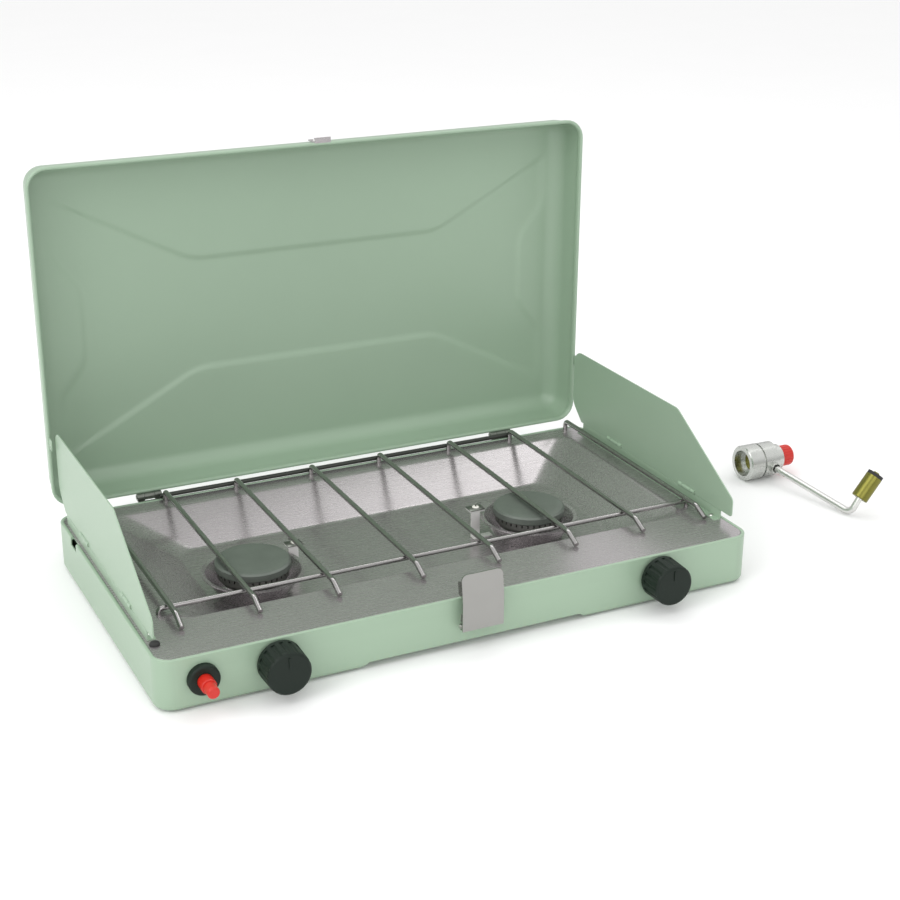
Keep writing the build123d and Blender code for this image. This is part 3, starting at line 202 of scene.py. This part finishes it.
USES = {
    "green": ("base_pan", "lid", "windscreen_left", "windscreen_right",
              "windscreen_rail_left", "windscreen_rail_right"),
    "stainless": ("drip_tray", "burner_bowl_left", "burner_bowl_right", "lid_catch"),
    "bright_steel": ("electrode_brackets",),
    "latch": ("latch_plate",),
    "dark_steel": ("base_hinge_leaves", "lid_hinge_leaves", "hinge_pins", "electrode_pins"),
    "zinc": ("windscreen_pins", "rail_rivets", "latch_bracket", "latch_pin",
             "base_hinge_rivets", "lid_rivets",
             "regulator_tube", "inlet_nut", "valve_nuts", "mixer_tube_left",
             "mixer_tube_right", "igniter_spring", "valve_stem_left", "valve_stem_right"),
    "chrome": ("grate_long_wires", "grate_front_wire"),
    "shaded_wire": ("grate_rear_wire",),
    "enamel": ("burner_cap_left", "burner_cap_right"),
    "cast": ("burner_ring_left", "burner_ring_right"),
    "brass": ("valve_left", "valve_right", "jets", "manifold_pipe", "gas_inlet",
              "regulator_insert", "regulator_nut", "regulator_nipple"),
    "knob": ("knob_left", "knob_right", "igniter_collar", "igniter_body"),
    "red": ("igniter_button", "regulator_cap"),
    "rubber": ("feet", "lid_bumper", "regulator_oring"),
    "ceramic": ("electrode_ceramics",),
    "cast_zinc": ("regulator_body",),
}


def wear(obj, material):
    obj.data.materials.clear()
    obj.data.materials.append(material)


for kind, node_names in USES.items():
    for node_name in node_names:
        wear(NODES[node_name], MATERIALS[kind])


# ---------------------------------------------------------------- sheets and plates
SHARPEST = 0.00001  # what is always left of a side between two rounded corners
PLATE_EDGE = 0.0003
PLATE_EDGE_STEPS = 3


def smooth_step(t):
    t = max(0.0, min(1.0, t))
    return t * t * (3 - 2 * t)


def soft_min(a, b, width):
    """The smaller of two values, with the corner between them rounded over a width."""
    part = max(0.0, min(1.0, 0.5 + 0.5 * (b - a) / width))
    return b * (1 - part) + a * part - width * part * (1 - part)


def loop(centre, half, radii, counts):
    """A rounded rectangle as a closed list of points; every ring has the same count.

    radii holds the corner radius at the high and at the low end of the second axis, and
    counts the points on a side along the first axis, on one along the second, and on a corner.
    """
    corners = ((1, 1, radii[0]), (-1, 1, radii[0]), (-1, -1, radii[1]), (1, -1, radii[1]))
    quarter = math.pi / 2

    def on_corner(k, angle):
        sign_u, sign_v, radius = corners[k % 4]
        radius = min(radius, half[0] - SHARPEST, half[1] - SHARPEST)
        return (centre[0] + sign_u * (half[0] - radius) + radius * math.cos(angle),
                centre[1] + sign_v * (half[1] - radius) + radius * math.sin(angle))

    points = []
    for k in range(4):
        points += [on_corner(k, (k + i / counts[2]) * quarter) for i in range(counts[2])]
        end = (k + 1) * quarter
        here, there = on_corner(k, end), on_corner(k + 1, end)
        steps = counts[k % 2]
        points += [(here[0] + (there[0] - here[0]) * i / steps,
                    here[1] + (there[1] - here[1]) * i / steps) for i in range(steps)]
    return points


def finish_mesh(name, bm):
    mesh = bpy.data.meshes.new(name)
    bm.to_mesh(mesh)
    bm.free()
    for face in mesh.polygons:
        face.use_smooth = True
    obj = bpy.data.objects.new(name, mesh)
    bpy.context.scene.collection.objects.link(obj)
    return obj


def rings_mesh(name, rings, close_first, close_last):
    """Quads between successive rings of equal count; an end ring may be filled flat."""
    count = len(rings[0])
    bm = bmesh.new()
    rows = [[bm.verts.new(point) for point in ring] for ring in rings]
    for low, high in zip(rows, rows[1:]):
        for i in range(count):
            j = (i + 1) % count
            bm.faces.new((low[i], low[j], high[j], high[i]))
    for wanted, row in ((close_first, rows[0]), (close_last, rows[-1])):
        if wanted:
            edges = [bm.edges.get((row[i], row[(i + 1) % count])) for i in range(count)]
            bmesh.ops.triangle_fill(bm, edges=edges, use_beauty=True)
    bmesh.ops.recalc_face_normals(bm, faces=bm.faces)
    return finish_mesh(name, bm)


def plate_piece(name, low, high, material, body):
    """A small flat plate with rounded edges, between two corners."""
    bm = bmesh.new()
    bmesh.ops.create_cube(bm, size=1.0)
    for vert in bm.verts:
        for k in range(3):
            vert.co[k] = (low[k] + high[k]) / 2 + vert.co[k] * (high[k] - low[k])
    bmesh.ops.bevel(bm, geom=list(bm.edges), offset=PLATE_EDGE, segments=PLATE_EDGE_STEPS,
                    affect="EDGES", clamp_overlap=True)
    plate = finish_mesh(name, bm)
    wear(plate, material)
    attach(plate, body)


# ---------------------------------------------------------------- pressed lid
LID_LOW, LID_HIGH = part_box("lid")
TONGUE_REACH = 0.009  # how far the side tongues stand out past the rim
TONGUE_ROOT = 0.003
TONGUE_FOOT_Z = 0.103
TONGUE_TOP_Z = 0.113
LID_RIM_Y = LID_LOW[1] + TONGUE_REACH
LID_DEPTH = 0.037
LID_HALF = (LID_HIGH[0], (LID_HIGH[2] - LID_LOW[2]) / 2)
LID_MID = (0.0, (LID_HIGH[2] + LID_LOW[2]) / 2)
LID_DRAFT = 0.004
LID_CORNER = 0.017
LID_CORNER_LEAST = 0.002
LID_BEND = 0.014  # rounding between wall and panel
LID_BEND_STEPS = 10
LID_SHEET = 0.001
LID_COUNTS = (110, 62, 7)
LID_WALL_DEPTHS = (0.017, 0.011, 0.0062)
# (depth, inset) round the hem, from the outer face of the wall to its inner face
LID_HEM = ((0.0052, -0.0004), (0.0044, -0.0009), (0.0026, -0.001), (0.0012, -0.0009),
           (0.0004, -0.0005), (0.0, 0.0002), (0.0, 0.001), (0.0004, 0.0017),
           (0.0012, 0.0021), (0.0038, 0.0022), (0.0048, 0.0019), (0.0053, 0.0012))
PANEL_STEP = 0.002  # between two rings of the panel
PANEL_RINGS = 62
PRESS_DEPTH = 0.0015
PRESS_SOFT = 0.0026  # half the width of the pressed step
PRESS_FADE = 0.012  # over which the pressing fades out beside the bend
FIELD_SOFT = 0.006  # rounding where two sides of the field meet
WAIST = (-0.113, 0.124)  # ends of the straight sides above and below the field
WAIST_TOP = 0.0485
WAIST_LOW = -0.052
WAIST_SLOPE = Vector((0.098, 0.052)).normalized()
FLANK_X = 0.213  # the field's straight sides at its left and right
FLANK_HALF = 0.032
FLANK_SLOPE = Vector((0.026, 0.034)).normalized()


def pressed(x, z):
    """How far the X-shaped field is pressed back at a point of the panel, from 0 to 1."""
    outside = []
    for level, sign in ((WAIST_TOP, 1), (WAIST_LOW, -1)):
        rise = sign * (z - level)
        right = -WAIST_SLOPE.y * (x - WAIST[1]) + WAIST_SLOPE.x * rise
        left = WAIST_SLOPE.y * (x - WAIST[0]) + WAIST_SLOPE.x * rise
        outside.append(soft_min(rise, soft_min(right, left, FIELD_SOFT), FIELD_SOFT))
    for sign in (1, -1):
        run = sign * x - FLANK_X
        high = FLANK_SLOPE.y * run - FLANK_SLOPE.x * (z - FLANK_HALF)
        low = FLANK_SLOPE.y * run + FLANK_SLOPE.x * (z + FLANK_HALF)
        outside.append(soft_min(run, soft_min(high, low, FIELD_SOFT), FIELD_SOFT))
    return 1 - smooth_step((max(outside) + PRESS_SOFT) / (2 * PRESS_SOFT))


def lid_ring(depth, inset, press=False):
    """One ring of the lid, a depth behind the rim plane and pulled in from the outer wall."""
    lean = LID_DRAFT * depth / LID_DEPTH
    half = (LID_HALF[0] - lean - inset, LID_HALF[1] - lean - inset)
    radius = max(LID_CORNER_LEAST, LID_CORNER - lean / 2 - inset)
    fade = smooth_step((inset - LID_BEND + PANEL_STEP) / PRESS_FADE)
    ring = []
    for x, z in loop(LID_MID, half, (radius, radius), LID_COUNTS):
        back = PRESS_DEPTH * fade * pressed(x, z - LID_MID[1]) if press else 0.0
        ring.append((x, LID_RIM_Y + depth + back, z))
    return ring


def bend_profile(radius):
    """(depth, inset) round the bend between the wall and the panel."""
    turns = [i / LID_BEND_STEPS * math.pi / 2 for i in range(LID_BEND_STEPS + 1)]
    return [(LID_DEPTH - LID_BEND + radius * math.sin(turn), LID_BEND - radius * math.cos(turn))
            for turn in turns]


def build_lid():
    """The lid as one closed sheet: the back of the panel, wall, hem, and the inside again."""
    panel = [LID_BEND + PANEL_STEP * k for k in range(1, PANEL_RINGS + 1)]
    rings = [lid_ring(LID_DEPTH, inset, True) for inset in reversed(panel)]
    rings += [lid_ring(depth, inset) for depth, inset in reversed(bend_profile(LID_BEND))]
    rings += [lid_ring(depth, 0.0) for depth in LID_WALL_DEPTHS]
    rings += [lid_ring(depth, inset) for depth, inset in LID_HEM]
    rings += [lid_ring(depth, LID_SHEET) for depth in reversed(LID_WALL_DEPTHS)]
    rings += [lid_ring(depth, inset) for depth, inset in bend_profile(LID_BEND - LID_SHEET)]
    rings += [lid_ring(LID_DEPTH - LID_SHEET, inset, True) for inset in panel]
    lid = rings_mesh("lid_shell", rings, True, True)
    wear(lid, MATERIALS["green"])
    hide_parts("lid")
    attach(lid, "lid")


def build_tongues():
    """Small tongues that stand out past the rim at both sides of the lid."""
    for side, sign in (("left", -1), ("right", 1)):
        faces = sorted((sign * LID_HALF[0], sign * (LID_HALF[0] - LID_SHEET)))
        plate_piece(f"lid_tongue_{side}", (faces[0], LID_LOW[1], TONGUE_FOOT_Z),
                    (faces[1], LID_RIM_Y + TONGUE_ROOT, TONGUE_TOP_Z),
                    MATERIALS["green"], "lid")


build_lid()
build_tongues()


# ---------------------------------------------------------------- drip tray
TRAY_LOW, TRAY_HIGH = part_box("drip_tray")
TRAY_SHEET = 0.0008
TRAY_TOP = TRAY_HIGH[2]
TRAY_FLOOR = TRAY_LOW[2] + TRAY_SHEET
TRAY_CORNER = 0.0118
TRAY_COUNTS = (120, 60, 12)
RIM_BLENDS = (0.0, 0.006, 0.02, 0.2, 0.4, 0.6, 0.8, 1.0)  # from the outer edge to the basin's lip
BASIN_X = 0.006
BASIN_MOUTH = {"y": 0.021, "half": (0.227, 0.1042), "r": (0.014, 0.014)}
BASIN_FLOOR = {"y": 0.0105, "half": (0.1815, 0.0725), "r": (0.020, 0.050)}
BASIN_CORNER_LEAST = 0.004
LIP = -0.12  # where the flat rim ends, as a part of the way down the wall
LIP_INNER = -0.085
FLOOR_RINGS = (1.1, 1.18)
WALL_STEPS = 10
CREASE = 0.055  # part of the wall's height that each bend takes
CREASE_STEPS = 8


def basin_ring(t, z):
    """The basin's outline, from its mouth at t=0 to its floor at t=1."""
    def between(a, b):
        return a + (b - a) * t
    middle = between(BASIN_MOUTH["y"], BASIN_FLOOR["y"])
    half = [between(a, b) for a, b in zip(BASIN_MOUTH["half"], BASIN_FLOOR["half"])]
    radii = [max(BASIN_CORNER_LEAST, between(a, b))
             for a, b in zip(BASIN_MOUTH["r"], BASIN_FLOOR["r"])]
    return [(x, y, z) for x, y in loop((BASIN_X, middle), half, radii, TRAY_COUNTS)]


def basin_drop(t):
    """Part of the drop reached at t, with both creases rounded."""
    if t <= -CREASE:
        return 0.0
    if t < CREASE:
        return (t + CREASE) ** 2 / (4 * CREASE)
    if t <= 1 - CREASE:
        return t
    if t < 1 + CREASE:
        return 1 - (1 + CREASE - t) ** 2 / (4 * CREASE)
    return 1.0


def basin_steps():
    """Where the basin's rings lie, with the closest ones round its two creases."""
    crease = [-CREASE + 2 * CREASE * k / CREASE_STEPS for k in range(CREASE_STEPS + 1)]
    wall = [k / WALL_STEPS for k in range(1, WALL_STEPS)]
    return [LIP_INNER, *crease, *wall, *(1 + t for t in crease), *FLOOR_RINGS]


def build_tray():
    edge = loop((0, 0), (TRAY_HIGH[0], TRAY_HIGH[1]), (TRAY_CORNER, TRAY_CORNER), TRAY_COUNTS)
    lip = basin_ring(LIP, TRAY_TOP)
    rings = []
    for part in RIM_BLENDS:
        rings.append([(ex + (x - ex) * part, ey + (y - ey) * part, TRAY_TOP)
                      for (ex, ey), (x, y, _) in zip(edge, lip)])
    for t in basin_steps():
        rings.append(basin_ring(t, TRAY_TOP + (TRAY_FLOOR - TRAY_TOP) * basin_drop(t)))
    tray = rings_mesh("drip_tray_sheet", rings, False, True)
    if tray.data.polygons[0].normal.z < 0:
        tray.data.flip_normals()
    thick = tray.modifiers.new("sheet", "SOLIDIFY")
    thick.thickness = TRAY_SHEET
    thick.offset = -1
    wear(tray, MATERIALS["stainless"])
    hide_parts("drip_tray")
    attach(tray, "base")


build_tray()


# ---------------------------------------------------------------- painted shade on the electrode brackets
ELECTRODE_AT = {"left": (-0.094, 0.009), "right": (0.076, 0.009)}
SHADE_PLATE_LOW = (-0.0078, -0.0062, 0.04203)  # corners, from the electrode's foot at the ground
SHADE_PLATE_HIGH = (0.0062, 0.0045, 0.0431)


def build_bracket_shade_plates():
    """Thin dark plates on top of the two electrode brackets: painted shade where their tops lie
    in shadow.
    """
    for side, (x, y) in ELECTRODE_AT.items():
        # painted shade: a thin dark sheet standing in for the shadow on the bracket's top
        plate_piece(f"electrode_bracket_painted_shade_{side}", (x + SHADE_PLATE_LOW[0], y + SHADE_PLATE_LOW[1], SHADE_PLATE_LOW[2]),
                    (x + SHADE_PLATE_HIGH[0], y + SHADE_PLATE_HIGH[1], SHADE_PLATE_HIGH[2]),
                    MATERIALS["dark_steel"], "base")


build_bracket_shade_plates()


# ---------------------------------------------------------------- camera, floor and light
CAMERA_AT = (-0.5407, -1.1811, 0.6337)
CAMERA_YAW = 26.419  # degrees to the right of straight ahead
CAMERA_PITCH = 21.834  # degrees below level
CAMERA_ROLL = 0.405
CAMERA_LENS = 66.774  # mm
CAMERA_SENSOR = 36
CAMERA_RANGE = 50
FLOOR_HALF = 6.0
FLOOR_CELLS = 24
SKY_STRENGTH = 1.05
SKY = ((0.0, 0.42), (0.18, 0.62), (0.5, 1.0))  # greys, by the upward part of the direction
# name, place, what it is aimed at, size and power
LIGHTS = (("key_left", (-1.9, -0.5, 1.5), (0, 0, 0.1), (1.6, 1.6), 19),
          ("front", (-0.5, -2.2, 0.9), (0, 0.1, 0.15), (2.2, 1.0), 10),
          ("rear_strip", (0.3, 0.7, 2.0), (0, 0.1, 0), (2.8, 0.24), 8))


def add_camera():
    yaw, pitch = math.radians(CAMERA_YAW), math.radians(CAMERA_PITCH)
    roll = math.radians(CAMERA_ROLL)
    forward = Vector((math.sin(yaw) * math.cos(pitch), math.cos(yaw) * math.cos(pitch),
                      -math.sin(pitch)))
    level = Vector((math.cos(yaw), -math.sin(yaw), 0))
    above = level.cross(forward)
    right = level * math.cos(roll) + above * math.sin(roll)
    up = -level * math.sin(roll) + above * math.cos(roll)
    data = bpy.data.cameras.new("camera")
    data.sensor_fit = "HORIZONTAL"
    data.sensor_width = CAMERA_SENSOR
    data.lens = CAMERA_LENS
    data.clip_end = CAMERA_RANGE
    camera = bpy.data.objects.new("camera", data)
    turn = Matrix((right, up, -forward)).transposed().to_4x4()
    camera.matrix_world = Matrix.Translation(CAMERA_AT) @ turn
    bpy.context.scene.collection.objects.link(camera)
    bpy.context.scene.camera = camera


def add_floor():
    bm = bmesh.new()
    bmesh.ops.create_grid(bm, x_segments=FLOOR_CELLS, y_segments=FLOOR_CELLS, size=FLOOR_HALF)
    floor = finish_mesh("floor", bm)
    wear(floor, surface("floor", (0.93, 0.93, 0.93), rough=0.9, rough_var=0.03, colour_var=0.004,
                        grain=200, grain_depth=0.00001, specular=0.1))


def add_world():
    """White overhead, greyer toward the horizon, so that bare metal has something to reflect."""
    world = bpy.data.worlds.new("studio")
    world.use_nodes = True
    tree = world.node_tree
    back = next(node for node in tree.nodes if node.type == "BACKGROUND")
    place = tree.nodes.new("ShaderNodeTexCoord")
    split = tree.nodes.new("ShaderNodeSeparateXYZ")
    tree.links.new(place.outputs["Generated"], split.inputs["Vector"])
    tone = ramp(tree, split.outputs["Z"], [(height, (grey, grey, grey)) for height, grey in SKY])
    tree.links.new(tone, back.inputs["Color"])
    back.inputs["Strength"].default_value = SKY_STRENGTH
    bpy.context.scene.world = world


def add_area(name, place, aim, size, power):
    data = bpy.data.lights.new(name, "AREA")
    data.shape = "RECTANGLE"
    data.size, data.size_y = size
    data.energy = power
    light = bpy.data.objects.new(name, data)
    turn = (Vector(aim) - Vector(place)).to_track_quat("-Z", "Y").to_matrix().to_4x4()
    light.matrix_world = Matrix.Translation(place) @ turn
    bpy.context.scene.collection.objects.link(light)


bpy.context.scene.view_settings.view_transform = "Standard"
add_camera()
add_floor()
add_world()
for light in LIGHTS:
    add_area(*light)
